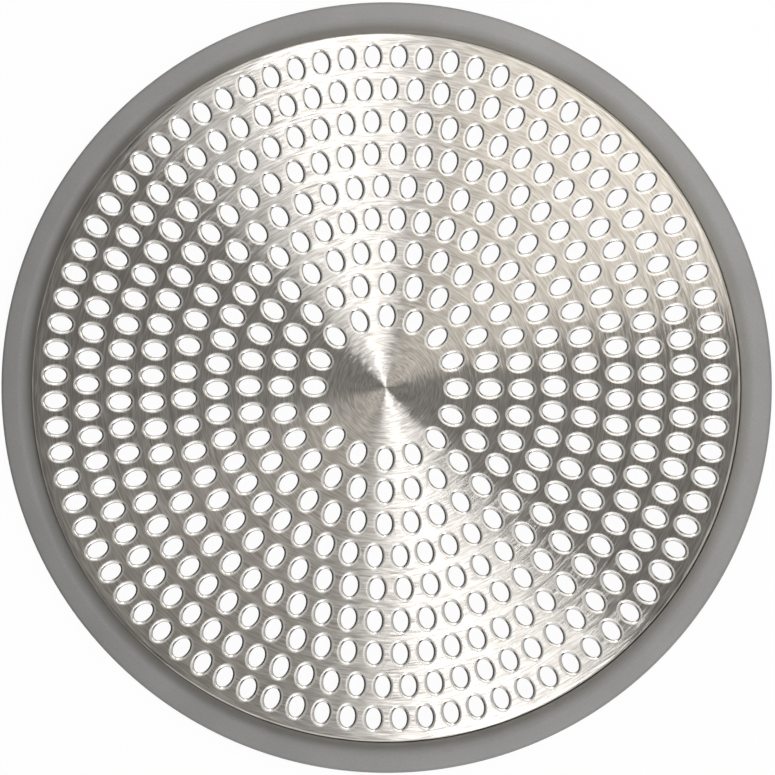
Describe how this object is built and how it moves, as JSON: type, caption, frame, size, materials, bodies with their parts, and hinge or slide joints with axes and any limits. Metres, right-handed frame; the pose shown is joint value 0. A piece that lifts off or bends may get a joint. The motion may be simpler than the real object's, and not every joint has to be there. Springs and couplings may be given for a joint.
{
  "type": "shower drain hair catcher",
  "caption": "Round drain cover that stops hair: a perforated brushed steel disc with a turned-down edge, held in the groove of a low silicone rim.",
  "frame": {"origin": "on the disc's axis, on the floor that the rim stands on", "axes": "+Z up through the disc's top face; +X to the right and +Y up in a view from straight above"},
  "size_m": [0.146, 0.146, 0.005],
  "materials": {
    "steel": "brushed in circles about the disc's centre",
    "silicone": "matte mid grey"
  },
  "bodies": {
    "root": {"perforated_disc": "steel", "silicone_rim": "silicone"}
  },
  "joints": []
}
